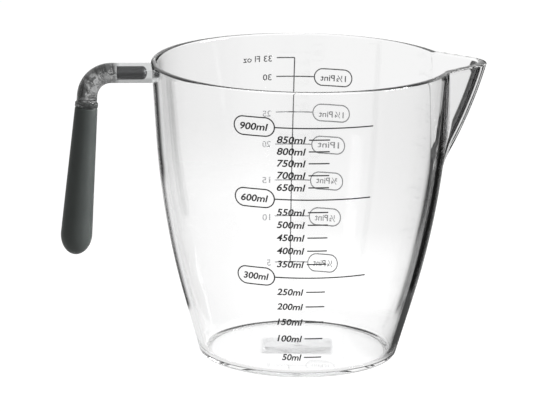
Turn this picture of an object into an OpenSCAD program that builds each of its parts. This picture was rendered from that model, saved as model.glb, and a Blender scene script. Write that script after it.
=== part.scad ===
// Clear measuring jug: a moulded vessel with a vee spout, a round arm, a soft grip and printed scales.
// The vessel's axis is Z and its foot stands on Z = 0. The spout points along +X and the handle along -X.
// The millilitre scale faces -Y. The fluid ounce and pint scale is on the opposite wall, facing +Y.

/* [Vessel] */
// Height from the foot to the rim
vessel_h = 123; // [110:1:160]
// Outer diameter that the lower side line would have at the table
base_d = 81.7; // [76:0.2:100]
// Thickness of the side wall
wall = 2.6; // [1.8:0.1:3.6]
// Thickness of the floor
floor_t = 1.3; // [1:0.1:3]
// Outward lean of the side near the base, in degrees
low_flare = 15.9; // [12:0.1:18]
// Outward lean of the side near the rim, in degrees
high_flare = 4.15; // [2:0.05:7]
// Height at which the side begins to bend from the first lean to the second
bend_from = 24.5; // [15:0.5:45]
// Height at which the bend ends
bend_to = 92; // [70:0.5:105]

/* [Foot] */
// Radius of the round between the side and the foot
corner_r = 1.7; // [0.8:0.1:3]
// Radius of the round between the floor and the side, inside
floor_fillet = 3.6; // [2:0.1:6]
// Width of the flat ring that the jug stands on
foot_ring_w = 2.8; // [1.5:0.1:5]
// Height of the hollow under the floor
foot_recess = 0.4; // [0.3:0.05:1]
// Length of the bare frosted panel under the floor
panel_l = 29.5; // [15:0.5:40]
// Width of the bare frosted panel
panel_w = 22; // [10:0.5:30]
// Radius of the panel's corners
panel_corner_r = 1; // [0.5:0.1:3]
// Thickness of the panel
panel_t = 0.15; // [0.1:0.01:0.25]
// Turn of the panel from the line through spout and handle, in degrees
panel_turn = -5; // [-15:1:15]
// Distance of the panel's middle from the axis, away from the millilitre scale
panel_off = 2; // [0:0.5:5]

/* [Spout] */
// How far the spout's nose stands out from the round of the rim
spout_out = 14.3; // [10:0.1:18]
// Height from the rim down to where the spout's ridge dies into the side
spout_drop = 43.5; // [30:0.5:55]
// Radius of the arc that the ridge bows outwards in
ridge_bow_r = 185; // [120:5:400]
// Radius of the nose outside, square to the ridge
nose_r = 11; // [8:0.5:18]
// Radius of the nose inside
inner_nose_r = 8.8; // [6:0.1:15]
// Thickness of the wall at the nose
nose_wall = 3.97; // [2.8:0.01:5]
// Half of the angle between the spout's two side panels, in degrees
vee_half = 45; // [38:0.5:50]

/* [Arm] */
// Diameter of the round arm
arm_d = 8.3; // [7:0.1:10]
// Distance from the rim down to the top of the arm
arm_below_rim = 0.5; // [0.3:0.1:4]
// Distance from the rim's outer edge to where the axes of the arm and the grip cross
arm_reach = 25.3; // [20:0.1:40]
// Radius of the elbow's centre line
elbow_r = 9.8; // [8:0.1:11]
// Diameter of the collar that the grip butts against
collar_d = 9.4; // [9.2:0.1:12]
// Thickness of the collar
collar_t = 2.2; // [1:0.1:4]
// Straight length between the elbow and the collar
neck_l = 3; // [1:0.1:8]
// Diameter of the tang that carries the grip
tang_d = 5; // [3:0.1:6]
// Length of the tang
tang_l = 44; // [20:0.5:50]
// Diameter of the dark pin moulded into the arm
core_d = 3.7; // [2:0.1:4]
// Length of the dark pin
core_l = 12.3; // [6:0.1:16]
// Length of bare arm between the pin and the side of the vessel
core_setback = 2; // [1.5:0.1:6]

/* [Grip] */
// Length of the grip
grip_l = 62.2; // [55:0.2:90]
// Diameter of the grip at the collar
grip_top_d = 9.3; // [8:0.1:12]
// Widest diameter of the grip, where its round end begins
grip_wide_d = 13; // [10:0.1:20]
// Length of the round end
grip_dome_l = 8.8; // [5:0.1:12]
// Outward lean of the grip, in degrees
grip_lean = 4.3; // [0:0.1:10]
// Radius of the round at the top edge of the grip
grip_edge_r = 0.6; // [0.3:0.1:1.5]
// Clearance between the tang and the grip's bore, all round and at the end
tang_clearance = 0.05; // [0.02:0.01:0.2]

/* [Scales] */
// Thickness of the printed ink
ink_t = 0.12; // [0.08:0.01:0.3]
// Width of every printed line
line_w = 0.5; // [0.3:0.05:0.8]
// Lean of the millilitre scale off plumb, as printed, in degrees
ml_lean = 0.55; // [0:0.05:2]
// Lean of the ounce scale off plumb, as printed, in degrees
ounce_lean = 1.15; // [0:0.05:2]
// Height of the fill law at the full mark, before its drop
fill_rise = 111.2; // [100:0.1:114]
// Drop of the fill law
fill_drop = 2.7; // [1:0.1:4]
// Left end of the short strokes, from the middle of the scale
tick_left = -2.3; // [-5:0.1:0]
// Length of the short strokes
tick_l = 8.4; // [5:0.05:12]
// Right end of the capsule frames, from the middle of the scale
capsule_right = -15.8; // [-18:0.1:-10]
// Length of the capsule frames of the millilitre scale
capsule_l = 17.35; // [15:0.05:20]
// Height of the capsule frames of the millilitre scale
capsule_h = 8.05; // [6:0.05:9]
// Right end of the long lines, from the middle of the scale
long_right = 24.2; // [15:0.1:28]
// Place of the upright line of the ounce scale, from the middle of the scale
stem_at = -1.5; // [-4:0.1:2]
// Right end of the ounce lines, as seen from behind
ounce_right = 6.4; // [4:0.05:10]
// Edge of the pint frames nearest to the ounce lines
pint_near = -10.2; // [-14:0.1:-8]
// Length of the pint frames with a mixed number
pint_long_l = 17.5; // [15:0.1:20]
// Length of the other pint frames
pint_short_l = 16; // [12:0.1:18]
// Height of the pint frames
pint_h = 7.7; // [6:0.1:9]

/* [Hidden] */

// Steps round a full turn, along the bend of the side, round the spout's nose and round a small corner
round_steps = 96;
side_steps = 12;
nose_steps = 16;
corner_steps = 6;

// Allowance by which a cut runs past what it cuts
overrun = 1;
// The elbow is this much fatter than the straight arm, and laps over its two straight neighbours
elbow_swell = 0.03;
elbow_lap = 0.5;
// Gap between the ink and the wall, less than its own thickness
ink_lift = 0.01;

base_r = base_d / 2;
arm_r = arm_d / 2;
core_r = core_d / 2;

// The millilitre scale has this many long lines, each the last of this many steps
main_marks = 3;
steps_each = 6;
fill_power = 0.76;

// Heights of the ounce marks 5, 10, 15, 20, 25, 30 and 33, as shares of the vessel's height
ounce_height_shares = [0.204, 0.361, 0.485, 0.611, 0.724, 0.847, 0.913];
// The upper two pint marks have a mixed number
mixed_pints = 2;

// Directions in which the two scales face
ml_face = -90;
ounce_face = 90;

function arc_points(centre, r, from, to, steps) =
    [for (i = [0:steps]) let (a = from + (to - from) * i / steps) centre + r * [cos(a), sin(a)]];

// The side is a leaning line, an arc, and a steeper line, all tangent
bend_r = (bend_to - bend_from) / (sin(low_flare) - sin(high_flare));
bend_centre = [base_r + tan(low_flare) * bend_from - bend_r * cos(low_flare),
    bend_from + bend_r * sin(low_flare)];
bend_end_r = bend_centre[0] + bend_r * cos(high_flare);
rim_r = bend_end_r + tan(high_flare) * (vessel_h - bend_to);

// Outer radius of the side at a height
function side_r(z) = z < bend_from ? base_r + tan(low_flare) * z
    : z > bend_to ? bend_end_r + tan(high_flare) * (z - bend_to)
    : bend_centre[0] + sqrt(pow(bend_r, 2) - pow(z - bend_centre[1], 2));

// Points up the side from the bend to a height, on a surface moved in by inset
function side_points(inset, top) = concat(
    arc_points(bend_centre, bend_r - inset, -low_flare, -high_flare, side_steps),
    [[side_r(top) - inset / cos(high_flare), top]]);

// Centre of the round of radius r that joins a level line at height z to the side moved in by inset
function corner_centre(r, z, inset) =
    [base_r - inset / cos(low_flare) + tan(low_flare) * z - r * tan((90 - low_flare) / 2), z + r];

// The points of such a round
function corner_points(r, z, inset) =
    arc_points(corner_centre(r, z, inset), r, -90, -low_flare, corner_steps);

floor_z = foot_recess + floor_t;
foot_r = corner_centre(corner_r, 0, 0)[0];

// Solid of revolution inside the outer face
module outer_body() {
    rotate_extrude($fn = round_steps)
        polygon(concat([[0, 0]], corner_points(corner_r, 0, 0), side_points(0, vessel_h), [[0, vessel_h]]));
}

// The round hollow, open at the top
module round_cavity() {
    top = vessel_h + overrun;
    rotate_extrude($fn = round_steps)
        polygon(concat([[0, floor_z]], corner_points(floor_fillet, floor_z, wall), side_points(wall, top),
            [[0, top]]));
}

// The spout is a vee that slants down into the side along its ridge, an arc from the nose to the foot.
// The lean of the ridge off plumb is ridge_lean half way, and ridge_half_turn less or more at its ends.
ridge_nose = [rim_r + spout_out, vessel_h];
ridge_foot = [side_r(vessel_h - spout_drop), vessel_h - spout_drop];
ridge_lean = atan((ridge_nose[0] - ridge_foot[0]) / spout_drop);
ridge_half_turn = asin(norm(ridge_nose - ridge_foot) / 2 / ridge_bow_r);
ridge_centre = (ridge_nose + ridge_foot) / 2
    - ridge_bow_r * cos(ridge_half_turn) * [cos(ridge_lean), -sin(ridge_lean)];
vee_back = spout_out * 2;

// Outline square to the ridge, with a nose of radius r that lies inset behind the outer face
module vee_outline(inset, r) {
    nose = arc_points([-inset - r, 0], r, vee_half - 90, 90 - vee_half, nose_steps);
    touch = nose[nose_steps];
    rear = touch + (vee_back + touch[0]) / cos(vee_half) * [-cos(vee_half), sin(vee_half)];
    polygon(concat([[rear[0], -rear[1]]], nose, [rear]));
}

// The slanting vee, swept along the ridge's arc from below its foot to above the rim
module vee(inset, r) {
    translate([ridge_centre[0], 0, ridge_centre[1]]) rotate([90, 0, 0])
        rotate([0, 0, -ridge_lean - ridge_half_turn * 2])
            rotate_extrude(angle = ridge_half_turn * 4, $fn = round_steps * 4)
            translate([ridge_bow_r, 0]) vee_outline(inset, r);
}

module vessel() {
    color([0.93, 0.95, 0.96, 0.45]) difference() {
        union() {
            outer_body();
            intersection() {
                vee(0, nose_r);
                translate([0, -rim_r, vessel_h - spout_drop * 1.5])
                    cube([rim_r + spout_out + overrun, rim_r * 2, spout_drop * 1.5]);
            }
        }
        round_cavity();
        vee(nose_wall, inner_nose_r);
        translate([0, 0, -overrun]) cylinder(h = foot_recess + overrun, r = foot_r - foot_ring_w, $fn = round_steps);
    }
}

// The arm's axis is level, and the grip's axis crosses it and leans outwards going down
arm_z = vessel_h - arm_below_rim - arm_r;
cross_x = -rim_r - arm_reach;
elbow_turn = 90 - grip_lean;
elbow_tangent = elbow_r * tan(elbow_turn / 2);
elbow_start_x = cross_x + elbow_tangent;
collar_at = elbow_tangent + neck_l;
grip_at = collar_at + collar_t;

// Places children on the grip's axis, with Z pointing back up to the arm
module on_grip_axis() {
    translate([cross_x, 0, arm_z]) rotate([0, grip_lean, 0]) children();
}

// The dark pin: a rod with a round end towards the vessel
module core_shape() {
    round_x = -side_r(arm_z) - core_setback - core_r;
    straight_l = core_l - core_r;
    translate([round_x - straight_l, 0, arm_z]) rotate([0, 90, 0])
        cylinder(h = straight_l, r = core_r, $fn = round_steps);
    translate([round_x, 0, arm_z]) sphere(core_r, $fn = round_steps);
}

module handle_arm() {
    color([0.86, 0.89, 0.9, 0.6]) difference() {
        union() {
            translate([elbow_start_x - elbow_lap, 0, arm_z]) rotate([0, 90, 0])
                cylinder(h = elbow_lap - elbow_start_x - rim_r + wall, r = arm_r, $fn = round_steps);
            translate([elbow_start_x, 0, arm_z - elbow_r]) rotate([90, 0, 0]) rotate([0, 0, 90])
                rotate_extrude(angle = elbow_turn, $fn = round_steps)
                translate([elbow_r, 0]) circle(arm_r + elbow_swell, $fn = round_steps);
            on_grip_axis() {
                translate([0, 0, -collar_at]) cylinder(h = neck_l + elbow_lap, r = arm_r, $fn = round_steps);
                translate([0, 0, -grip_at]) cylinder(h = collar_t, d = collar_d, $fn = round_steps);
                translate([0, 0, -grip_at - tang_l]) cylinder(h = tang_l, d = tang_d, $fn = round_steps);
            }
        }
        outer_body();
        core_shape();
    }
}

module arm_core() {
    color([0.22, 0.23, 0.23]) core_shape();
}

module grip() {
    top_r = grip_top_d / 2;
    wide_r = grip_wide_d / 2;
    wide_at = grip_l - grip_dome_l;
    dome = [for (i = [0:corner_steps * 2]) let (a = 90 * i / (corner_steps * 2))
        [wide_r * cos(a), -wide_at - grip_dome_l * sin(a)]];
    edge = arc_points([top_r - grip_edge_r, -grip_edge_r], grip_edge_r, 90, 0, corner_steps);
    color([0.27, 0.29, 0.28]) on_grip_axis() translate([0, 0, -grip_at]) difference() {
        rotate_extrude($fn = round_steps) polygon(concat([[0, 0]], edge, dome));
        translate([0, 0, -tang_l - tang_clearance])
            cylinder(h = tang_l + tang_clearance + overrun, d = tang_d + tang_clearance * 2, $fn = round_steps);
    }
}

// A plain panel stuck in the hollow of the foot, against the floor
module base_panel() {
    inner = [panel_l, panel_w] / 2 - [panel_corner_r, panel_corner_r];
    color([0.85, 0.86, 0.87]) rotate([0, 0, panel_turn]) translate([0, panel_off, foot_recess - panel_t])
        linear_extrude(panel_t) {
            square([panel_l, inner[1] * 2], center = true);
            square([inner[0] * 2, panel_w], center = true);
            for (x = [-1, 1], y = [-1, 1])
                translate([x * inner[0], y * inner[1]]) circle(panel_corner_r, $fn = round_steps / 2);
        }
}

// Height of the mark of a fill, given as a share of the full mark's
function mark_z(share) = fill_rise * pow(share, fill_power) - fill_drop;

// Turn from the middle of a scale to a place u along the print at a height. The print is stretched
// half way between the girth of the rim and the girth at that height, and leans off plumb.
function print_turn(face, u, z) = let (lean = face == ml_face ? ml_lean : ounce_lean)
    (u + tan(lean) * (vessel_h / 2 - z)) / sqrt(side_r(z) * rim_r) * 180 / PI;

// A skin of ink over the whole side, which the prints are cut from
module ink_skin() {
    inner = side_points(-ink_lift, vessel_h);
    outer = side_points(-ink_lift - ink_t, vessel_h);
    foot_z = corner_r * 2;
    rotate_extrude($fn = round_steps) polygon(concat(
        [[side_r(foot_z) + (ink_lift + ink_t) / cos(low_flare), foot_z],
            [side_r(foot_z) + ink_lift / cos(low_flare), foot_z]],
        inner, [for (i = [len(outer) - 1:-1:0]) outer[i]]));
}

// Sector that cuts a level line out of the skin, between two places along the print
module level_cut(face, z, left, right) {
    from = print_turn(face, left, z);
    rotate([0, 0, face + from]) rotate_extrude(angle = print_turn(face, right, z) - from, $fn = round_steps)
        translate([side_r(z) - wall / 2, z - line_w / 2]) square([wall, line_w]);
}

// A capsule outline: a rectangle with round ends
module capsule(length, height) {
    square([length - height, height], center = true);
    for (side = [-1, 1]) translate([side * (length - height) / 2, 0]) circle(d = height, $fn = round_steps);
}

// Frame that cuts a capsule's line out of the skin
module capsule_cut(face, z, left, length, height) {
    from = print_turn(face, left, z);
    to = print_turn(face, left + length, z);
    true_l = 2 * side_r(z) * sin((to - from) / 2);
    rotate([0, 0, face + (from + to) / 2]) translate([side_r(z) - wall, 0, z])
        rotate([90, 0, 90]) linear_extrude(wall * 2) difference() {
            capsule(true_l, height);
            capsule(true_l - line_w * 2, height - line_w * 2);
        }
}

module ml_lines() {
    color([0.12, 0.12, 0.13]) intersection() {
        ink_skin();
        for (i = [1:main_marks]) level_cut(ml_face, mark_z(i / main_marks), capsule_right, long_right);
    }
}

module ml_ticks() {
    color([0.12, 0.12, 0.13]) intersection() {
        ink_skin();
        for (i = [1:main_marks * steps_each]) if (i % steps_each != 0)
            level_cut(ml_face, mark_z(i / (main_marks * steps_each)), tick_left, tick_left + tick_l);
    }
}

module ml_capsules() {
    color([0.12, 0.12, 0.13]) intersection() {
        ink_skin();
        for (i = [1:main_marks])
            capsule_cut(ml_face, mark_z(i / main_marks), capsule_right - capsule_l, capsule_l, capsule_h);
    }
}

ounce_z = [for (share = ounce_height_shares) share * vessel_h];
top_ounce = len(ounce_z) - 1;

// Middle of the upright line at a height, across the scale
function stem_x(z) = side_r(z) * sin(print_turn(ounce_face, stem_at, z));

// Upright line of the ounce scale, from the middle of the lowest mark to the middle of the highest
module stem_cut() {
    low = ounce_z[0];
    high = ounce_z[top_ounce];
    half = line_w / 2;
    rotate([0, 0, ounce_face]) rotate([90, 0, 90]) linear_extrude(rim_r + wall)
        polygon([[stem_x(low) - half, low], [stem_x(low) + half, low],
            [stem_x(high) + half, high], [stem_x(high) - half, high]]);
}

module ounce_lines() {
    color([0.2, 0.2, 0.21]) intersection() {
        ink_skin();
        union() {
            stem_cut();
            for (i = [0:top_ounce])
                level_cut(ounce_face, ounce_z[i], i == top_ounce ? stem_at : pint_near, ounce_right);
        }
    }
}

module pint_capsules() {
    color([0.2, 0.2, 0.21]) intersection() {
        ink_skin();
        for (i = [0:top_ounce - 1]) let (length = i < top_ounce - mixed_pints ? pint_short_l : pint_long_l)
            capsule_cut(ounce_face, ounce_z[i], pint_near - length, length, pint_h);
    }
}

vessel();
handle_arm();
arm_core();
grip();
base_panel();
ml_lines();
ml_ticks();
ml_capsules();
ounce_lines();
pint_capsules();
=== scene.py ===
"""Clear measuring jug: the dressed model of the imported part, with its floor, light and camera.

The jug's axis is Z, the spout points along +X, the handle along -X, and the millilitre scale faces -Y.
Every length is in metres and every angle in radians, unless a name says degrees.
"""

import logging
import math
from dataclasses import dataclass, field
from enum import Enum
from typing import Callable

import bpy
from mathutils import Matrix, Vector


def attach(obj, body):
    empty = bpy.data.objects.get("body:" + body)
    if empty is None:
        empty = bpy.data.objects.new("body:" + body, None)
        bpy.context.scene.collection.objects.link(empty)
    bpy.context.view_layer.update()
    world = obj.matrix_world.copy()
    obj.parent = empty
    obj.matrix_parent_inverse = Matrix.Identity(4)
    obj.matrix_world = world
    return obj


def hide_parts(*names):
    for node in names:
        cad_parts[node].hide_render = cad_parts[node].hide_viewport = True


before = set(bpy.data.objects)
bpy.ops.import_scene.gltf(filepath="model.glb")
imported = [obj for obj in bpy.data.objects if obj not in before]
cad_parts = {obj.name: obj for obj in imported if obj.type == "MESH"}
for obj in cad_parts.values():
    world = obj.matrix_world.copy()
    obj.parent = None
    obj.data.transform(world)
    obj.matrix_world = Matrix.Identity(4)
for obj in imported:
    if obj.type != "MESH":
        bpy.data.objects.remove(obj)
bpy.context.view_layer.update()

logging.basicConfig(level=logging.INFO, format="%(message)s")
log = logging.getLogger("jug")

MM = 0.001
BODY = "root"


class Face(Enum):
    """The side of the vessel that a scale is printed on, as a turn about the jug's axis."""

    MILLILITRES = math.radians(-90)
    OUNCES = math.radians(90)


Socket = bpy.types.NodeSocket
Colour = tuple[float, float, float, float]
Span = tuple[float, float]
Stops = tuple[Span, ...]
Feed = Socket | float | tuple[float, ...]


def deselect() -> None:
    """Leaves nothing selected, so that the next operator acts on what is added next and on nothing else."""
    bpy.ops.object.select_all(action="DESELECT")


def pick(piece: bpy.types.Object) -> None:
    """Selects one piece alone and makes it the active one."""
    deselect()
    piece.select_set(True)
    bpy.context.view_layer.objects.active = piece


def edit(piece: bpy.types.Object, steps: Callable[[], None]) -> None:
    """Runs operators in edit mode on one piece, with all of its mesh selected at first.

    Args:
        piece: The mesh object to work on.
        steps: The operators, as a function without arguments.
    """
    pick(piece)
    bpy.ops.object.mode_set(mode="EDIT")
    bpy.ops.mesh.select_mode(type="VERT")
    bpy.ops.mesh.select_all(action="SELECT")
    steps()
    bpy.ops.object.mode_set(mode="OBJECT")


def draw_chain(name: str, points: list[Vector]) -> bpy.types.Object:
    """Draws an open chain of edges: a small plane is merged to one corner, which is extruded from point to point.

    Args:
        name: The new piece's name.
        points: The corners of the chain, in order.

    Returns:
        The new object, at the origin, with the chain in its mesh.
    """
    deselect()
    bpy.ops.mesh.primitive_plane_add(size=MM, location=points[0])
    bpy.ops.object.transform_apply(location=True, rotation=True, scale=True)
    piece = bpy.context.active_object
    piece.name = name

    def steps() -> None:
        """Extrudes the merged corner along the chain."""
        bpy.ops.mesh.merge(type="CENTER")
        for before, after in zip(points, points[1:]):
            bpy.ops.mesh.extrude_region_move(TRANSFORM_OT_translate={"value": after - before})

    edit(piece, steps)
    return piece


def close_up(piece: bpy.types.Object, smooth_degrees: float) -> None:
    """Merges doubles, turns every face outwards and shades the piece smooth up to an angle.

    Args:
        piece: The mesh object.
        smooth_degrees: Edges that bend more than this stay sharp.
    """

    def steps() -> None:
        """Merges what lies together and makes the normals agree."""
        bpy.ops.mesh.remove_doubles(threshold=MM / 2000)
        bpy.ops.mesh.dissolve_degenerate(threshold=MM / 10000)
        bpy.ops.mesh.normals_make_consistent(inside=False)

    edit(piece, steps)
    bpy.ops.object.shade_smooth_by_angle(angle=math.radians(smooth_degrees))


def dress(piece: bpy.types.Object, material: bpy.types.Material) -> None:
    """Gives a piece one material in place of any that it has."""
    piece.data.materials.clear()
    piece.data.materials.append(material)


def hand_over(piece: bpy.types.Object, slot: str, *nodes: str) -> None:
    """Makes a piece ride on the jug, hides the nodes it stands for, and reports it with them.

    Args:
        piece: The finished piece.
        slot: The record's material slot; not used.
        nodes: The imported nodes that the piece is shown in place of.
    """
    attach(piece, BODY)
    if nodes:
        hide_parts(*nodes)
    log.info("%s: %d faces, for %s", piece.name, len(piece.data.polygons), ", ".join(nodes) or "no node")


def arc(centre: Vector, radius: float, start: float, end: float, steps: int) -> list[Vector]:
    """Points of an arc in the plane of radius and height.

    Args:
        centre: The arc's centre, as radius and height.
        radius: The arc's radius.
        start: The first point's angle.
        end: The last point's angle.
        steps: How many steps the arc is divided into.

    Returns:
        The points, both ends among them.
    """
    turns = [start + (end - start) * i / steps for i in range(steps + 1)]
    return [centre + radius * Vector((math.cos(t), math.sin(t))) for t in turns]


@dataclass(frozen=True)
class Side:
    """The line of the vessel's side: a leaning line, an arc and a steeper line, all tangent."""

    height: float = 123 * MM
    base_r: float = 40.85 * MM
    low_flare: float = math.radians(15.9)
    high_flare: float = math.radians(4.15)
    bend_from: float = 24.5 * MM
    bend_to: float = 92 * MM

    @property
    def bend_r(self) -> float:
        """Radius of the bend."""
        return (self.bend_to - self.bend_from) / (math.sin(self.low_flare) - math.sin(self.high_flare))

    @property
    def bend_centre(self) -> Vector:
        """Centre of the bend, as radius and height."""
        foot = self.base_r + math.tan(self.low_flare) * self.bend_from
        return Vector((foot - self.bend_r * math.cos(self.low_flare),
                       self.bend_from + self.bend_r * math.sin(self.low_flare)))

    def lean(self, z: float) -> float:
        """Lean of the side off plumb at a height.

        Args:
            z: The height.

        Returns:
            The angle.
        """
        if z <= self.bend_from:
            return self.low_flare
        if z >= self.bend_to:
            return self.high_flare
        return math.asin((self.bend_centre.y - z) / self.bend_r)

    def radius(self, z: float) -> float:
        """Outer radius of the side at a height.

        Args:
            z: The height.

        Returns:
            The radius.
        """
        if z <= self.bend_from:
            return self.base_r + math.tan(self.low_flare) * z
        if z >= self.bend_to:
            end = self.bend_centre.x + self.bend_r * math.cos(self.high_flare)
            return end + math.tan(self.high_flare) * (z - self.bend_to)
        return self.bend_centre.x + math.sqrt(self.bend_r**2 - (z - self.bend_centre.y) ** 2)

    @property
    def rim_r(self) -> float:
        """Outer radius of the round of the rim."""
        return self.radius(self.height)

    def inner(self, z: float, inset: float) -> float:
        """Radius at a height of the side moved in by inset, square to its surface."""
        return self.radius(z) - inset / math.cos(self.lean(z))


@dataclass(frozen=True)
class Vee:
    """The slanting vee of the spout, with its nose on a ridge that bows outwards in an arc."""

    side: Side
    out: float = 14.3 * MM
    drop: float = 43.5 * MM
    bow_r: float = 185 * MM
    nose_r: float = 11 * MM
    inner_nose_r: float = 8.8 * MM
    nose_wall: float = 3.97 * MM
    half_angle: float = math.radians(45)

    @property
    def foot_z(self) -> float:
        """Height at which the ridge dies into the side."""
        return self.side.height - self.drop

    @property
    def bow_centre(self) -> Vector:
        """Centre of the ridge's arc, as X and height."""
        nose = Vector((self.side.rim_r + self.out, self.side.height))
        foot = Vector((self.side.radius(self.foot_z), self.foot_z))
        chord = nose - foot
        depth = math.sqrt(self.bow_r**2 - chord.length_squared / 4)
        return (nose + foot) / 2 - Vector((chord.y, -chord.x)).normalized() * depth

    def reach(self, y: float, z: float, depth: float) -> float:
        """How far along X the vee's surface lies.

        Args:
            y: Distance from the plane through spout and handle.
            z: Height.
            depth: How deep in the wall, from 0 at the outer face to 1 at the inner face.

        Returns:
            The surface's X.
        """
        radius = self.nose_r + depth * (self.inner_nose_r - self.nose_r)
        middle = -depth * self.nose_wall - radius
        touch = math.pi / 2 - self.half_angle
        across = abs(y)
        if across <= radius * math.sin(touch):
            back = middle + math.sqrt(radius**2 - across**2)
        else:
            past = across - radius * math.sin(touch)
            back = middle + radius * math.cos(touch) - past / math.tan(self.half_angle)
        centre = self.bow_centre
        return centre.x + math.sqrt((self.bow_r + back) ** 2 - (z - centre.y) ** 2)


@dataclass
class Vessel:
    """The clear vessel: one wall of revolution, drawn out into the spout."""

    side: Side
    vee: Vee
    finish: bpy.types.Material
    wall: float = 2.6 * MM
    floor: float = 1.3 * MM
    corner_r: float = 1.7 * MM
    floor_fillet: float = 3.6 * MM
    ring_w: float = 2.8 * MM
    ring_edge: float = 0.1 * MM
    recess: float = 0.4 * MM
    rim_round: float = 1.0 * MM
    rim_crease: float = 0.4 * MM
    foot_crease: float = 2.5 * MM
    ink_room: float = 0.012 * MM
    spout_half: float = math.radians(29)
    spout_steps: int = 150
    round_steps: int = 156
    floor_steps: int = 8
    corner_steps: int = 8
    fillet_steps: int = 10
    rim_steps: int = 5
    fine_from: float = 70 * MM
    coarse_row: float = 2.4 * MM
    fine_row: float = 0.75 * MM
    smooth_degrees: float = 32

    def corner(self, radius: float, z: float, inset: float, steps: int) -> list[Vector]:
        """The round between a level line at a height and the side moved in by inset.

        Args:
            radius: The round's radius.
            z: The height of the level line.
            inset: How far in the side is moved.
            steps: How many steps the round has.

        Returns:
            Its points, as radius and height.
        """
        lean = self.side.low_flare
        along = self.side.base_r - inset / math.cos(lean) + math.tan(lean) * z
        centre = Vector((along - radius * math.tan((math.pi / 2 - lean) / 2), z + radius))
        return arc(centre, radius, -math.pi / 2, -lean, steps)

    def rows(self, low: float, high: float) -> list[float]:
        """Heights of the mesh's rows between two heights, closer where the spout begins.

        Args:
            low: The lower height.
            high: The upper height.

        Returns:
            The heights, without the lower one.
        """
        heights = [low]
        while heights[-1] < high:
            step = self.coarse_row if heights[-1] < self.fine_from else self.fine_row
            heights.append(heights[-1] + step)
        heights[-1] = high
        if heights[-1] - heights[-2] < self.fine_row / 2:
            del heights[-2]
        return heights[1:]

    def profile(self) -> list[Vector]:
        """Half of the vessel's section, from the middle of the foot up the outside and down the inside.

        Returns:
            Points as radius and height.
        """
        side, room, edge, small = self.side, self.ink_room, self.rim_round, self.ring_edge
        top = side.height
        foot = self.corner(self.corner_r, 0, room, self.corner_steps)
        ring = foot[0].x - self.ring_w
        points = [Vector((ring * i / self.floor_steps, self.recess)) for i in range(self.floor_steps)]
        points += [Vector((ring - small, self.recess)), Vector((ring, self.recess - small)),
                   Vector((ring, small)), Vector((ring + small, 0))]
        points += foot
        points += [Vector((side.inner(z, room), z)) for z in self.rows(foot[-1].y, top - edge)]
        outer = Vector((side.inner(top, room + edge), top - edge))
        points += arc(outer, edge, -side.high_flare, math.pi / 2, self.rim_steps)[1:]
        points.append(Vector((side.inner(top, self.wall / 2), top)))
        inner = Vector((side.inner(top, self.wall - edge), top - edge))
        points += arc(inner, edge, math.pi / 2, math.pi - side.high_flare, self.rim_steps)
        floor_z = self.recess + self.floor
        fillet = self.corner(self.floor_fillet, floor_z, self.wall, self.fillet_steps)
        down = self.rows(fillet[-1].y, top - edge)[:-1]
        points += [Vector((side.inner(z, self.wall), z)) for z in reversed(down)]
        points += reversed(fillet)
        points += [Vector((fillet[0].x * i / self.floor_steps, floor_z)) for i in reversed(range(self.floor_steps))]
        return points

    def spread(self, place: Vector) -> float:
        """How far a point of the round wall is drawn out along X to make the spout.

        Args:
            place: The point on the round wall.

        Returns:
            The distance, 0 where the vee lies inside the round.
        """
        around = math.hypot(place.x, place.y)
        inset = (self.side.radius(place.z) - around) * math.cos(self.side.lean(place.z))
        reach = self.vee.reach(place.y, place.z, min(max(inset / self.wall, 0), 1))
        up = min(max((place.z - self.vee.foot_z) / self.vee.drop, 0), 1)
        blend = self.foot_crease + (self.rim_crease - self.foot_crease) * up
        share = min(max(0.5 + (reach - place.x) / (2 * blend), 0), 1)
        return share * (reach - place.x) + blend * share * (1 - share)

    def build(self) -> bpy.types.Object:
        """Spins the section in a fine sector for the spout and a plain one, then draws the spout out.

        Returns:
            The finished vessel.
        """
        start = Matrix.Rotation(-self.spout_half, 3, "Z")
        piece = draw_chain("clear_vessel", [start @ Vector((p.x, 0, p.y)) for p in self.profile()])

        def spins() -> None:
            """Turns the section through the spout's sector and on round the rest."""
            for angle, count in ((2 * self.spout_half, self.spout_steps),
                                 (2 * math.pi - 2 * self.spout_half, self.round_steps)):
                bpy.ops.mesh.spin(steps=count, angle=-angle, center=(0, 0, 0), axis=(0, 0, 1))

        edit(piece, spins)
        close_up(piece, self.smooth_degrees)
        longest = 2 * self.vee.out
        group = piece.vertex_groups.new(name="spout")
        lowest = self.vee.foot_z - 4 * self.foot_crease
        for vertex in piece.data.vertices:
            place = vertex.co
            if place.x > 0 and place.z > lowest and abs(place.y) < place.x * math.tan(self.spout_half):
                group.add([vertex.index], self.spread(place) / longest, "REPLACE")
        pull = piece.modifiers.new("spout", "DISPLACE")
        pull.direction = "X"
        pull.mid_level = 0
        pull.strength = longest
        pull.vertex_group = group.name
        pick(piece)
        bpy.ops.object.modifier_apply(modifier=pull.name)
        piece.vertex_groups.clear()
        dress(piece, self.finish)
        hand_over(piece, "clear_wall", "vessel")
        return piece


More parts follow.
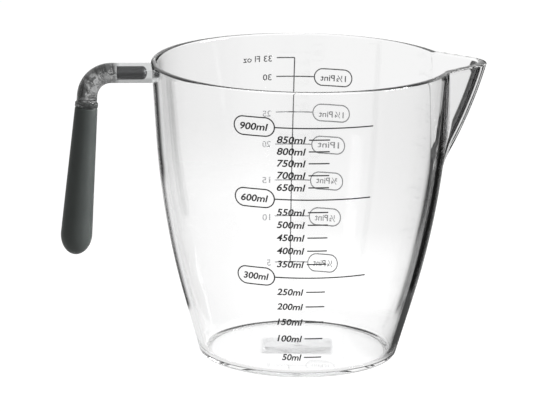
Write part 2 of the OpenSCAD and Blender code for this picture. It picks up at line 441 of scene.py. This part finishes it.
@dataclass
class Arm:
    """The clear round arm: a rod out of the wall, an elbow, a neck and a collar over the grip's tang."""

    side: Side
    rod_r: float = 4.15 * MM
    below_rim: float = 0.5 * MM
    reach: float = 25.3 * MM
    elbow_r: float = 9.8 * MM
    neck_l: float = 3 * MM
    collar_r: float = 4.7 * MM
    collar_t: float = 2.2 * MM
    edge: float = 0.35 * MM
    grip_lean: float = math.radians(4.3)
    wall_gap: float = 0.04 * MM
    tang_r: float = 2.5 * MM
    tang_l: float = 44 * MM
    round_steps: int = 96
    elbow_steps: int = 40
    rod_shares: tuple[float, ...] = (0.04, 0.46, 0.5)
    open_end: float = 0.1 * MM
    smooth_degrees: float = 40

    @property
    def axis_z(self) -> float:
        """Height of the rod's axis."""
        return self.side.height - self.below_rim - self.rod_r

    @property
    def cross(self) -> Vector:
        """Where the axes of the rod and the grip cross."""
        return Vector((-self.side.rim_r - self.reach, 0, self.axis_z))

    @property
    def turn(self) -> float:
        """Angle through which the elbow turns."""
        return math.pi / 2 - self.grip_lean

    @property
    def down(self) -> Vector:
        """Direction of the grip's axis, going down and outwards."""
        return Vector((-math.sin(self.grip_lean), 0, -math.cos(self.grip_lean)))

    @property
    def grip_at(self) -> float:
        """Distance along the grip's axis from the crossing to the top of the grip."""
        return self.elbow_r * math.tan(self.turn / 2) + self.neck_l + self.collar_t

    @property
    def bend_centre(self) -> Vector:
        """Centre of the elbow's bend, below the place where the straight rod ends."""
        return self.cross + Vector((self.elbow_r * math.tan(self.turn / 2), 0, -self.elbow_r))

    @staticmethod
    def push(way: Vector, length: float, factor: float = 1.0) -> None:
        """Extrudes the open end by a length, then scales it about its own middle.

        Args:
            way: The direction.
            length: How far the end moves.
            factor: The scale.
        """
        bpy.ops.mesh.extrude_region_move(TRANSFORM_OT_translate={"value": way * length})
        if factor != 1:
            bpy.ops.transform.resize(value=(factor,) * 3)

    def build(self) -> bpy.types.Object:
        """Extrudes a disc along the rod, spins it round the elbow, shapes the collar and fits the wall.

        Returns:
            The finished arm.
        """
        start_x = -self.side.radius(self.axis_z)
        deselect()
        bpy.ops.mesh.primitive_circle_add(vertices=self.round_steps, radius=self.rod_r, fill_type="TRIFAN",
                                          location=(start_x, 0, self.axis_z), rotation=(0, -math.pi / 2, 0))
        bpy.ops.object.transform_apply(location=True, rotation=True, scale=True)
        piece = bpy.context.active_object
        piece.name = "clear_arm"
        full, slim = self.collar_r, self.collar_r - self.edge

        def steps() -> None:
            """Draws the arm from the wall to the end of the tang."""
            out = Vector((-1, 0, 0))
            for share in self.rod_shares:
                self.push(out, (start_x - self.bend_centre.x) * share)
            bpy.ops.mesh.spin(steps=self.elbow_steps, angle=self.turn, axis=(0, 1, 0), center=self.bend_centre)
            self.push(self.down, self.neck_l - self.edge)
            self.push(self.down, self.edge, slim / self.rod_r)
            self.push(self.down, self.edge, full / slim)
            self.push(self.down, self.collar_t - 2 * self.edge)
            self.push(self.down, self.edge, slim / full)
            self.push(self.down, 0, self.tang_r / slim)
            self.push(self.down, self.tang_l)

        edit(piece, steps)
        for vertex in piece.data.vertices:
            if vertex.co.x > start_x - self.open_end:
                around = self.side.radius(vertex.co.z) + self.wall_gap
                vertex.co.x = -math.sqrt(around**2 - vertex.co.y**2)
        close_up(piece, self.smooth_degrees)
        # The arm's plastic carries painted shade: a grey rod and painted dark reflections in the elbow.
        dress(piece, PaintedShadePlastic("arm_plastic_painted_shade", bend=self.bend_centre).make())
        hand_over(piece, "clear_arm", "handle_arm")
        return piece


@dataclass
class Grip:
    """The soft grip: a sleeve that widens downwards to a round end."""

    arm: Arm
    finish: bpy.types.Material
    length: float = 62.2 * MM
    top_r: float = 4.65 * MM
    wide_r: float = 6.5 * MM
    dome_l: float = 8.8 * MM
    edge_r: float = 0.6 * MM
    round_steps: int = 96
    edge_steps: int = 6
    taper_steps: int = 12
    dome_steps: int = 24
    smooth_degrees: float = 50

    def profile(self) -> list[Vector]:
        """Half of the grip's section, from the middle of its top to the tip of its round end.

        Returns:
            Points as radius and height below the top.
        """
        edge, wide_at = self.edge_r, self.length - self.dome_l
        points = [Vector((0, -self.arm.edge)), Vector((self.arm.tang_r, 0))]
        points += arc(Vector((self.top_r - edge, -edge)), edge, math.pi / 2, 0, self.edge_steps)
        points += [Vector((self.top_r + (self.wide_r - self.top_r) * i / self.taper_steps,
                           -edge - (wide_at - edge) * i / self.taper_steps)) for i in range(1, self.taper_steps)]
        for i in range(self.dome_steps + 1):
            turn = math.pi / 2 * i / self.dome_steps
            points.append(Vector((self.wide_r * math.cos(turn), -wide_at - self.dome_l * math.sin(turn))))
        return points

    def build(self) -> bpy.types.Object:
        """Spins the section about the grip's own axis and leans it into place.

        Returns:
            The finished grip.
        """
        piece = draw_chain("soft_grip", [Vector((p.x, 0, p.y)) for p in self.profile()])
        edit(piece, lambda: bpy.ops.mesh.spin(steps=self.round_steps, angle=2 * math.pi,
                                              center=(0, 0, 0), axis=(0, 0, 1)))
        piece.location = self.arm.cross + self.arm.down * self.arm.grip_at
        piece.rotation_euler = (0, self.arm.grip_lean, 0)
        pick(piece)
        bpy.ops.object.transform_apply(location=True, rotation=True, scale=True)
        close_up(piece, self.smooth_degrees)
        dress(piece, self.finish)
        hand_over(piece, "soft_grip", "grip")
        return piece


class Align(Enum):
    """The end of a word that stands at its place, as the share of the word that lies before it."""

    LEFT = 0.0
    CENTER = 0.5
    RIGHT = 1.0


@dataclass(frozen=True)
class Word:
    """One word of a scale: what it says and where it stands."""

    text: str
    u: float
    z: float
    length: float
    align: Align = Align.CENTER


@dataclass(frozen=True)
class MillilitreWords:
    """Where the words of the millilitre scale stand, in millimetres."""

    step_ml: int = 50
    framed_ml: int = 300
    top_ml: int = 900
    top_z: float = 111.2
    power: float = 0.76
    sunk: float = 2.7
    framed_u: float = -24.45
    end_u: float = -3.4
    long_l: float = 11.7
    short_l: float = 9.5

    def words(self) -> list[Word]:
        """Every mark's volume, in the middle of its capsule or ending at its stroke.

        Returns:
            The words.
        """
        words = []
        for ml in range(self.step_ml, self.top_ml + self.step_ml, self.step_ml):
            z = self.top_z * (ml / self.top_ml) ** self.power - self.sunk
            u, align = (self.end_u, Align.RIGHT) if ml % self.framed_ml else (self.framed_u, Align.CENTER)
            length = self.long_l if ml >= 100 else self.short_l
            words.append(Word(f"{ml}ml", u * MM, z * MM, length * MM, align))
        return words


@dataclass(frozen=True)
class OunceWords:
    """Where the words of the ounce and pint scale stand, in millimetres."""

    ounces: tuple[tuple[str, float], ...] = (
        ("33 Fl oz", 112.05), ("30", 104.0), ("25", 88.55), ("20", 75.4), ("15", 59.9), ("10", 44.1), ("5", 25.1))
    pints: tuple[str, ...] = ("1\u00bdPint", "1\u00bcPint", "1Pint", "\u00bePint", "\u00bdPint", "\u00bcPint")
    ounce_u: float = 8.55
    one_digit_l: float = 1.9
    two_digits_l: float = 3.9
    headed_l: float = 13.2
    plain_u: float = -18.2
    plain_l: float = 10.0
    mixed_u: float = -18.95
    mixed_l: float = 11.5

    def words(self) -> list[Word]:
        """The ounces down their side of the scale, then the pints in the capsules below the top mark.

        Returns:
            The words.
        """
        lengths = {1: self.one_digit_l, 2: self.two_digits_l}
        words = [Word(text, self.ounce_u * MM, z * MM, lengths.get(len(text), self.headed_l) * MM, Align.LEFT)
                 for text, z in self.ounces]
        for text, (_, z) in zip(self.pints, self.ounces[1:]):
            mixed = text[0] == "1" and text[1] != "P"
            u, length = (self.mixed_u, self.mixed_l) if mixed else (self.plain_u, self.plain_l)
            words.append(Word(text, u * MM, z * MM, length * MM))
        return words


@dataclass
class Lettering:
    """The words of one scale, wrapped on the side of the vessel."""

    side: Side
    face: Face
    finish: bpy.types.Material
    slot: str
    digit_h: float = 2.9 * MM
    weight: float = 0.022
    slant: float = 0.0
    ink_t: float = 0.1 * MM
    lift: float = 0.02 * MM
    lean_degrees: float = 0.55
    digit_share: float = 0.73
    curve_steps: int = 4

    def place(self, u: float, z: float, out: float) -> Vector:
        """A place of the print on the vessel.

        Args:
            u: Distance along the print from the middle of the scale, to the right as seen from outside.
            z: Height.
            out: Distance out from the wall.

        Returns:
            The point.
        """
        along = u + math.tan(math.radians(self.lean_degrees)) * (self.side.height / 2 - z)
        turn = self.face.value + along / math.sqrt(self.side.radius(z) * self.side.rim_r)
        around = self.side.inner(z, -out)
        return Vector((around * math.cos(turn), around * math.sin(turn), z))

    def letter(self, word: Word) -> bpy.types.Object:
        """Writes one word flat, makes it a mesh and wraps it on the wall.

        Args:
            word: What to write and where.

        Returns:
            The word as a mesh.
        """
        deselect()
        bpy.ops.object.text_add()
        data = bpy.context.active_object.data
        data.body = word.text
        data.size = self.digit_h / self.digit_share
        data.shear = self.slant
        data.offset = self.weight * data.size
        data.extrude = self.ink_t / 2
        data.resolution_u = self.curve_steps
        bpy.ops.object.convert(target="MESH")
        written = bpy.context.active_object
        xs = [v.co.x for v in written.data.vertices]
        low, high = min(xs), max(xs)
        stretch = word.length / (high - low)
        start = word.u - word.align.value * word.length
        for vertex in written.data.vertices:
            x, y, depth = vertex.co
            vertex.co = self.place(start + (x - low) * stretch, word.z + y - self.digit_h / 2,
                                   self.lift + self.ink_t / 2 + depth)
        return written

    def build(self, name: str, words: list[Word]) -> bpy.types.Object:
        """Writes all words and joins them into one piece.

        Args:
            name: The piece's name.
            words: The words.

        Returns:
            The finished piece.
        """
        written = [self.letter(word) for word in words]
        deselect()
        for one in written:
            one.select_set(True)
        bpy.context.view_layer.objects.active = written[0]
        bpy.ops.object.join()
        piece = written[0]
        piece.name = name
        edit(piece, lambda: bpy.ops.mesh.remove_doubles(threshold=MM / 1000))
        dress(piece, self.finish)
        hand_over(piece, self.slot)
        return piece


@dataclass(frozen=True)
class Nodes:
    """The shader nodes of a material or of the world, added one by one and joined up."""

    tree: bpy.types.NodeTree

    def feed(self, sockets: dict[Socket, Feed]) -> None:
        """Links each socket to another one, or sets it to a plain value.

        Args:
            sockets: What feeds each socket.
        """
        for socket, value in sockets.items():
            if isinstance(value, Socket):
                self.tree.links.new(value, socket)
            else:
                socket.default_value = value

    def add(self, kind: str, **values: Feed) -> bpy.types.Node:
        """Adds a node and feeds its sockets by name.

        Args:
            kind: The node's type, without its common start.
            values: What feeds each socket, named with underscores for spaces.

        Returns:
            The node.
        """
        node = self.tree.nodes.new("ShaderNode" + kind)
        self.feed({node.inputs[key.replace("_", " ")]: value for key, value in values.items()})
        return node

    def join(self, kind: str, *values: Feed) -> Socket:
        """Adds a node and feeds its sockets in their order.

        Args:
            kind: The node's type, without its common start.
            values: What feeds the sockets.

        Returns:
            The node's first output.
        """
        node = self.tree.nodes.new("ShaderNode" + kind)
        self.feed(dict(zip(node.inputs, values)))
        return node.outputs[0]

    def reckon(self, operation: str, *numbers: Feed, clamp: bool = True) -> Socket:
        """Adds a sum of numbers.

        Args:
            operation: The kind of sum.
            numbers: What goes into it.
            clamp: Whether the result is kept between 0 and 1.

        Returns:
            The result.
        """
        node = self.tree.nodes.new("ShaderNodeMath")
        node.operation, node.use_clamp = operation, clamp
        self.feed(dict(zip(node.inputs, numbers)))
        return node.outputs[0]

    def measure(self, operation: str, *vectors: Feed) -> Socket:
        """Adds a length, a distance or a dot product.

        Args:
            operation: Which of them.
            vectors: What goes into it.

        Returns:
            Its value.
        """
        node = self.tree.nodes.new("ShaderNodeVectorMath")
        node.operation = operation
        self.feed(dict(zip(node.inputs, vectors)))
        return node.outputs["Value"]

    def ramp(self, value: Feed, start: float, end: float, low: float = 0.0, high: float = 1.0,
             smooth: bool = False) -> Socket:
        """Adds a number that goes from low to high while a value goes from start to end.

        Args:
            value: The value.
            start: Where the number is still low.
            end: Where it is high.
            low: The number up to the start.
            high: The number past the end.
            smooth: Whether it begins and ends softly.

        Returns:
            The number.
        """
        node = self.add("MapRange", Value=value, From_Min=start, From_Max=end, To_Min=low, To_Max=high)
        node.interpolation_type = "SMOOTHSTEP" if smooth else "LINEAR"
        return node.outputs["Result"]

    def mixed(self, share: Feed, first: Feed, second: Feed) -> Socket:
        """Adds a mix of two colours.

        Args:
            share: How much of the second colour shows.
            first: One colour.
            second: The other colour.

        Returns:
            The mixed colour.
        """
        node = self.tree.nodes.new("ShaderNodeMix")
        node.data_type = "RGBA"
        self.feed({node.inputs[0]: share, node.inputs[6]: first, node.inputs[7]: second})
        return node.outputs[2]

    def layered(self, under: Feed, *layers: tuple[Feed, Feed]) -> Socket:
        """Lays shaders over a first one.

        Args:
            under: The first shader.
            layers: Pairs of the share that a shader shows by and the shader.

        Returns:
            The layered shader.
        """
        for share, over in layers:
            under = self.join("MixShader", share, under, over)
        return under

    def noise(self, place: Feed, scale: float, detail: float, distortion: float = 0.0) -> Socket:
        """Adds a cloudy pattern and gives its strength."""
        return self.add("TexNoise", Vector=place, Scale=scale, Detail=detail,
                        Distortion=distortion).outputs["Fac"]

    def bumps(self, height: Feed, strength: float, depth: float) -> Socket:
        """Adds small bumps by a height and gives the normal."""
        return self.add("Bump", Height=height, Strength=strength, Distance=depth).outputs["Normal"]


@dataclass(frozen=True)
class Finish:
    """A named finish, whose patterns follow the object's own coordinates."""

    name: str

    def start(self) -> tuple[bpy.types.Material, Nodes, Socket]:
        """Makes a new material without its usual nodes.

        Returns:
            The material, its nodes and the place on the object.
        """
        material = bpy.data.materials.new(self.name)
        material.use_nodes = True
        material.node_tree.nodes.clear()
        nodes = Nodes(material.node_tree)
        return material, nodes, nodes.add("TexCoord").outputs["Object"]


@dataclass(frozen=True)
class ClearPlastic(Finish):
    """Clear polished plastic that lets lamps and soft light through to what stands behind it."""

    tint: Colour = (1, 1, 1, 1)
    passing: Colour = (0.98, 0.982, 0.985, 1)
    ior: float = 1.49
    roughness: float = 0.0
    wave_scale: float = 45.0
    wave: float = 0.02
    wave_depth: float = 0.4 * MM

    def colour(self, nodes: Nodes, place: Socket) -> Feed:
        """Gives the tint, which is even all over."""
        return self.tint

    def make(self) -> bpy.types.Material:
        """Builds the material: glass to the eye, and clear to light on its way to other surfaces.

        Returns:
            The material.
        """
        material, nodes, place = self.start()
        waves = nodes.noise(place, self.wave_scale, 1.0)
        glass = nodes.add("BsdfPrincipled", Base_Color=self.colour(nodes, place), Roughness=self.roughness,
                          IOR=self.ior, Transmission_Weight=1.0,
                          Normal=nodes.bumps(waves, self.wave, self.wave_depth))
        path = nodes.add("LightPath").outputs
        onward = nodes.reckon("MAXIMUM", path["Is Shadow Ray"], path["Is Diffuse Ray"])
        clear = nodes.join("BsdfTransparent", self.passing)
        nodes.add("OutputMaterial", Surface=nodes.layered(glass.outputs[0], (onward, clear)))
        return material


@dataclass(frozen=True)
class PaintedShadePlastic(ClearPlastic):
    """The arm's clear plastic with painted shade: grey in the rod, painted dark reflections to the elbow's outer
    side.
    """

    # The rod's grey tint is painted shade: it darkens the rod in place of the darker surroundings seen through it.
    tint: Colour = (0.62, 0.63, 0.63, 1)
    # Painted dark reflections of the elbow, and the paler tint of its inner side, a painted highlight.
    painted_dark: Colour = (0.02, 0.021, 0.021, 1)
    between: Colour = (0.6, 0.605, 0.605, 1)
    bend: Vector = field(default_factory=Vector)
    before_bend: Span = (3.5 * MM, 1 * MM)
    painted_shade_outside: Span = (8.5 * MM, 12 * MM)
    painted_shade_outside_depth: float = 0.8
    cloud_scale: float = 380.0
    cloud_twist: float = 1.5
    painted_dark_spots: Span = (0.42, 0.6)
    painted_dark_spots_depth: float = 0.75

    def colour(self, nodes: Nodes, place: Socket) -> Feed:
        """Adds the tint: painted grey along the rod, and painted shade darker with the distance from the middle of
        the bend.

        Args:
            nodes: The material's nodes.
            place: The place on the arm.

        Returns:
            The tint.
        """
        parts = nodes.add("SeparateXYZ", Vector=place).outputs
        start, end = (self.bend.x + way for way in self.before_bend)
        past = nodes.ramp(parts["X"], start, end)
        flat = nodes.add("CombineXYZ", X=parts["X"], Z=parts["Z"]).outputs[0]
        # Painted shade: darker towards the elbow's outer side, plus dark spots from a cloud, standing in for the
        # dark reflections the elbow shows.
        painted_shade_outside = nodes.ramp(nodes.measure("DISTANCE", flat, self.bend), *self.painted_shade_outside, high=self.painted_shade_outside_depth)
        cloud = nodes.noise(place, self.cloud_scale, 3.0, self.cloud_twist)
        painted_dark_spots = nodes.ramp(cloud, *self.painted_dark_spots, high=self.painted_dark_spots_depth)
        bent = nodes.mixed(nodes.reckon("ADD", painted_shade_outside, painted_dark_spots), self.between, self.painted_dark)
        return nodes.mixed(past, self.tint, bent)


@dataclass(frozen=True)
class SoftRubber(Finish):
    """Dark soft rubber with a fine moulded grain."""

    colour: Colour = (0.045, 0.05, 0.048, 1)
    worn: Colour = (0.06, 0.066, 0.063, 1)
    roughness: float = 0.42
    gloss: float = 0.12
    wear_scale: float = 70.0
    grain_scale: float = 2600.0
    grain: float = 0.12
    grain_depth: float = 0.1 * MM

    def make(self) -> bpy.types.Material:
        """Builds the material.

        Returns:
            The material.
        """
        material, nodes, place = self.start()
        grain = nodes.noise(place, self.grain_scale, 2.0)
        rubber = nodes.add("BsdfPrincipled", Roughness=self.roughness, Specular_IOR_Level=self.gloss,
                           Base_Color=nodes.mixed(nodes.noise(place, self.wear_scale, 4.0), self.colour, self.worn),
                           Normal=nodes.bumps(grain, self.grain, self.grain_depth))
        nodes.add("OutputMaterial", Surface=rubber.outputs[0])
        return material


@dataclass(frozen=True)
class Speckled(Finish):
    """A plain matt finish whose colour varies a little, for ink, the pin and the frosted panel."""

    low: Colour = (0.02, 0.02, 0.022, 1)
    high: Colour = (0.035, 0.035, 0.037, 1)
    scale: float = 900.0
    roughness: float = 0.5

    def shade(self, nodes: Nodes, place: Socket, colour: Socket) -> Socket:
        """Passes the speckled colour on as it is."""
        return colour

    def make(self) -> bpy.types.Material:
        """Builds the material.

        Returns:
            The material.
        """
        material, nodes, place = self.start()
        speckled = nodes.mixed(nodes.noise(place, self.scale, 3.0), self.low, self.high)
        surface = nodes.add("BsdfPrincipled", Roughness=self.roughness,
                            Base_Color=self.shade(nodes, place, speckled))
        nodes.add("OutputMaterial", Surface=surface.outputs[0])
        return material


@dataclass(frozen=True)
class FadedInk(Speckled):
    """Ink that is worn paler below a height, but for the upright line of the scale."""

    worn: Colour = (0.3, 0.3, 0.305, 1)
    below: float = 96 * MM
    fade: float = 2 * MM
    line_x: float = 1.35 * MM
    line_half: float = 0.9 * MM

    def shade(self, nodes: Nodes, place: Socket, colour: Socket) -> Socket:
        """Mixes the paler colour in, below the height and away from the upright line.

        Args:
            nodes: The material's nodes.
            place: The place on the print.
            colour: The speckled colour.

        Returns:
            The mixed colour.
        """
        parts = nodes.add("SeparateXYZ", Vector=place).outputs
        low = nodes.ramp(parts["Z"], self.below + self.fade, self.below - self.fade)
        apart = nodes.reckon("SUBTRACT", parts["X"], self.line_x, clamp=False)
        aside = nodes.ramp(nodes.reckon("ABSOLUTE", apart, clamp=False), self.line_half, 2 * self.line_half)
        return nodes.mixed(nodes.reckon("MULTIPLY", low, aside), colour, self.worn)


@dataclass(frozen=True)
class Lamp:
    """A soft square lamp: where it hangs, the side of its face and its power in watts."""

    name: str
    place: tuple[float, float, float]
    side: float
    watts: float


@dataclass
class Studio:
    """The pale floor, the soft light and the camera at the photograph's place.

    Each light lists stops of a bearing, in degrees to the right of straight on, and the brightness there: of
    what is seen through the jug, of what is mirrored in it, and of what falls on it. On the floor, distances
    are counted from the jug's axis.
    """

    target: Vector = field(default_factory=lambda: Vector((-10.27, 0.89, 61.67)) * MM)
    distance: float = 1260.3 * MM
    turn_degrees: float = -5.0
    rise_degrees: float = 14.18
    roll_degrees: float = 0.85
    focal_pixels: float = 3039.9
    image_width: int = 550
    sensor: float = 36.0
    clip: Span = (10 * MM, 20.0)
    through_light: Stops = (
        (-180, 0.93), (-150, 0.93), (-120, 0.7), (-9, 0.7), (-7, 0.93), (11.2, 0.93), (11.4, 0.02), (75, 0.02),
        (100, 0.7), (120, 0.93), (180, 0.93))
    mirrored_light: Stops = (
        (-180, 0.6), (-150, 0.85), (-34, 0.85), (-31, 0.6), (-29, 0.32), (-27, 0.08), (-24, 0.0), (-16, 0.0),
        (-13.5, 0.15), (-12.5, 0.4), (-11, 0.6), (-9, 0.9), (4, 0.9), (6.5, 0.03), (11, 0.02), (14, 0.08),
        (18, 0.06), (22, 0.0), (29, 0.0), (33, 0.03), (38, 0.0), (110, 0.0), (140, 0.6), (180, 0.6))
    soft_light: Stops = (
        (-180, 0.18), (-90, 0.03), (0, 0.4), (90, 1.0), (180, 0.18))
    rising: Span = (0.1, 0.3)
    above: float = 0.65
    floor_size: float = 12.0
    floor_z: float = -0.05 * MM
    floor_grey: Colour = (0.8, 0.8, 0.8, 1)
    floor_shade: Colour = (0.25, 0.25, 0.25, 1)
    floor_glow: float = 0.82
    right_side: Span = (-5 * MM, 5 * MM)
    left_side: Span = (42 * MM, 32 * MM)
    left_floor: Span = (0.24, 0.45)
    right_floor: Span = (0.06, 0.08)
    left_glint: Span = (0.25, 0.3)
    right_glint: Span = (0.09, 0.1)
    right_ground: Stops = (
        (0.08, 0.3), (0.15, 0.22), (0.2, 0.08), (0.3, 0.03), (0.36, 0.01), (0.44, 0.0))
    strip_slope: float = 0.55
    strip_from: Span = (-40 * MM, -47 * MM)
    strip_to: Span = (4 * MM, 12 * MM)
    strip_start: Span = (80 * MM, 70 * MM)
    glint: float = 0.85
    dark: float = 0.06
    lamps: tuple[Lamp, ...] = (Lamp("key", (1.9, -0.5, 0.9), 0.9, 80), Lamp("fill", (-1.3, -1.1, 1.0), 0.8, 1))
    bounces: int = 32
    mirrored_bounces: int = 16

    @property
    def turn(self) -> float:
        """The camera's turn about the jug's axis."""
        return math.radians(self.turn_degrees)

    def camera(self) -> bpy.types.Object:
        """Places the camera.

        Returns:
            The camera.
        """
        turn, rise = self.turn, math.radians(self.rise_degrees)
        back = Vector((math.sin(turn) * math.cos(rise), -math.cos(turn) * math.cos(rise), math.sin(rise)))
        right = Vector((math.cos(turn), math.sin(turn), 0))
        up = back.cross(right)
        roll = math.radians(self.roll_degrees)
        rolled_right = right * math.cos(roll) + up * math.sin(roll)
        rolled_up = up * math.cos(roll) - right * math.sin(roll)
        deselect()
        bpy.ops.object.camera_add()
        camera = bpy.context.active_object
        camera.name = "camera"
        camera.data.sensor_width = self.sensor
        camera.data.lens = self.focal_pixels / self.image_width * self.sensor
        camera.data.clip_start, camera.data.clip_end = self.clip
        camera.matrix_world = Matrix.Translation(self.target + back * self.distance) @ Matrix(
            (rolled_right, rolled_up, back)).transposed().to_4x4()
        bpy.context.scene.camera = camera
        return camera

    def sight(self, nodes: Nodes) -> tuple[Socket, ...]:
        """Tells the kinds of ray that arrive from each other.

        Args:
            nodes: The nodes of the floor or the world.

        Returns:
            Sockets that are 1 where the eye looks straight, where it looks at all, and once a ray was mirrored.
        """
        path = nodes.add("LightPath").outputs
        direct = path["Is Camera Ray"]
        seen = nodes.reckon("ADD", direct, path["Is Glossy Ray"])
        seen = nodes.reckon("ADD", seen, path["Is Transmission Ray"])
        return direct, seen, nodes.reckon("MULTIPLY", path["Glossy Depth"], seen)

    def across(self, nodes: Nodes, place: Socket, slope: float = 0.0) -> Socket:
        """Adds how far right of the jug's axis a place or a way lies.

        Args:
            nodes: The nodes of the floor or the world.
            place: The place or the way.
            slope: How much of its distance beyond the axis is added.

        Returns:
            The distance, growing to the right.
        """
        right, up = math.cos(self.turn), math.sin(self.turn)
        return nodes.measure("DOT_PRODUCT", place, (right - slope * up, up + slope * right, 0))

    def graded(self, nodes: Nodes, value: Socket, stops: Stops) -> Socket:
        """Adds a brightness that follows a value from stop to stop.

        Args:
            nodes: The nodes of the floor or the world.
            value: The value, from 0 to 1.
            stops: Pairs of a value and the brightness there.

        Returns:
            The brightness.
        """
        ramp = nodes.add("ValToRGB", Fac=value)
        elements = ramp.color_ramp.elements
        elements.remove(elements[1])
        for i, (at, level) in enumerate(stops):
            stop = elements[0] if i == 0 else elements.new(at)
            stop.position = at
            stop.color = (level, level, level, 1)
        return ramp.outputs["Color"]

    def round_about(self, nodes: Nodes, way: Socket, stops: Stops) -> Socket:
        """Adds the brightness of the surroundings in a way.

        Args:
            nodes: The nodes of the world.
            way: The way that a ray goes.
            stops: Pairs of a bearing in degrees and the brightness there.

        Returns:
            The brightness.
        """
        ahead = nodes.measure("DOT_PRODUCT", way, (-math.sin(self.turn), math.cos(self.turn), 0))
        bearing = nodes.reckon("ARCTAN2", self.across(nodes, way), ahead, clamp=False)
        return self.graded(nodes, nodes.ramp(bearing, -math.pi, math.pi),
                           tuple((degrees / 360 + 0.5, level) for degrees, level in stops))

    def floor(self) -> bpy.types.Object:
        """Lays the pale floor, which shows as white to the eye and still takes shadows.

        Farther off it opens to the surroundings for rays that went through the jug or were mirrored in it, with
        a faint ground on the right. Mirrored rays see it bright or dark: dark on the right, and in a slanting
        strip on the left.

        Returns:
            The floor.
        """
        deselect()
        bpy.ops.mesh.primitive_plane_add(size=self.floor_size, location=(0, 0, self.floor_z))
        floor = bpy.context.active_object
        floor.name = "floor"
        material, nodes, place = Finish("pale_floor").start()
        apart = nodes.measure("LENGTH", place)
        across = self.across(nodes, place)
        slanted = self.across(nodes, place, self.strip_slope)
        direct, seen, mirrored = self.sight(nodes)

        def step(value: Socket, ends: Span) -> Socket:
            """Adds a soft step from 0 to 1 between two distances."""
            return nodes.ramp(value, *ends, smooth=True)

        to_right = step(across, self.right_side)

        def beyond(left: Span, right: Span) -> Socket:
            """Adds a step at one distance all round, and at a shorter one on the right."""
            return nodes.reckon("MAXIMUM", step(apart, left), nodes.reckon("MULTIPLY", to_right, step(apart, right)))

        off_strip = nodes.reckon("MAXIMUM", step(slanted, self.strip_from), step(slanted, self.strip_to))
        off_strip = nodes.reckon("MAXIMUM", off_strip, step(apart, self.strip_start))
        bright = nodes.reckon("MULTIPLY", step(across, self.left_side), off_strip)
        shine = nodes.add("Emission", Strength=nodes.ramp(bright, 0, 1, self.dark, self.glint)).outputs[0]
        straight = nodes.reckon("MULTIPLY", to_right, nodes.ramp(mirrored, 0, 1, 1, 0))
        ground = nodes.reckon("MULTIPLY", self.graded(nodes, apart, self.right_ground), straight)
        open_floor = nodes.join("AddShader", nodes.join("BsdfTransparent", (1, 1, 1, 1)),
                                nodes.add("Emission", Strength=ground).outputs[0])
        white = nodes.join("AddShader", nodes.join("BsdfDiffuse", self.floor_shade),
                           nodes.add("Emission", Strength=self.floor_glow).outputs[0])
        far = nodes.add("Mix", Factor=mirrored, A=beyond(self.left_floor, self.right_floor),
                        B=beyond(self.left_glint, self.right_glint)).outputs["Result"]
        far = nodes.reckon("MULTIPLY", far, nodes.ramp(direct, 0, 1, 1, 0))
        shown = nodes.layered(white, (mirrored, shine), (far, open_floor))
        lit = nodes.join("BsdfDiffuse", self.floor_grey)
        nodes.add("OutputMaterial", Surface=nodes.layered(lit, (seen, shown)))
        dress(floor, material)
        return floor

    def world(self) -> None:
        """Makes the surroundings white to the eye, and uneven to light that was bent, mirrored or scattered."""
        world = bpy.data.worlds.new("surroundings")
        bpy.context.scene.world = world
        world.use_nodes = True
        world.node_tree.nodes.clear()
        nodes = Nodes(world.node_tree)
        direct, seen, mirrored = self.sight(nodes)
        way = nodes.add("TexCoord").outputs["Generated"]
        height = nodes.add("SeparateXYZ", Vector=way).outputs["Z"]
        through = nodes.reckon("MULTIPLY", nodes.ramp(height, *self.rising, 1, self.above),
                               self.round_about(nodes, way, self.through_light))
        lights = (self.round_about(nodes, way, self.soft_light),
                  nodes.reckon("MAXIMUM", direct, through),
                  nodes.reckon("MAXIMUM", nodes.ramp(height, *self.rising, smooth=True),
                               self.round_about(nodes, way, self.mirrored_light)))
        soft, eye, shine = (nodes.join("Background", (1, 1, 1, 1), strength) for strength in lights)
        nodes.add("OutputWorld", Surface=nodes.layered(soft, (seen, eye), (mirrored, shine)))

    def light(self) -> None:
        """Hangs the lamps, each pointing at the jug, and lets light pass through all of its walls."""
        for lamp in self.lamps:
            deselect()
            bpy.ops.object.light_add(type="AREA", location=lamp.place)
            hung = bpy.context.active_object
            hung.name = lamp.name
            hung.data.size = lamp.side
            hung.data.energy = lamp.watts
            hung.rotation_euler = (Vector(lamp.place) - self.target).to_track_quat("Z", "Y").to_euler()
        cycles = bpy.context.scene.cycles
        cycles.max_bounces = cycles.transmission_bounces = cycles.transparent_max_bounces = self.bounces
        cycles.glossy_bounces = self.mirrored_bounces
        bpy.context.scene.view_settings.view_transform = "Standard"


def main() -> None:
    """Builds the jug piece by piece, then the studio round it."""
    studio = Studio()
    studio.camera()
    side = Side()
    front_ink = Speckled("front_ink", low=(0.01, 0.01, 0.011, 1), high=(0.018, 0.018, 0.019, 1)).make()
    back_ink = FadedInk("back_ink", low=(0.03, 0.03, 0.031, 1), high=(0.045, 0.045, 0.047, 1)).make()
    panel = Speckled("frosted", low=(0.8, 0.8, 0.8, 1), high=(0.86, 0.86, 0.86, 1), roughness=0.7).make()
    Vessel(side, Vee(side), ClearPlastic("clear_plastic").make()).build()
    arm = Arm(side)
    arm.build()
    Grip(arm, SoftRubber("soft_rubber").make()).build()
    for node, material in {"arm_core": Speckled("dark_pin", scale=200).make(), "base_panel": panel,
                           "ml_lines": front_ink, "ml_ticks": front_ink, "ml_capsules": front_ink,
                           "ounce_lines": back_ink, "pint_capsules": back_ink}.items():
        dress(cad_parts[node], material)
    Lettering(side, Face.MILLILITRES, front_ink, "front_ink",
              slant=0.2).build("ml_words", MillilitreWords().words())
    Lettering(side, Face.OUNCES, back_ink, "back_ink", digit_h=2.7 * MM, weight=0.012,
              lean_degrees=1.15).build("ounce_words", OunceWords().words())
    studio.floor()
    studio.world()
    studio.light()


if __name__ == "__main__":
    main()
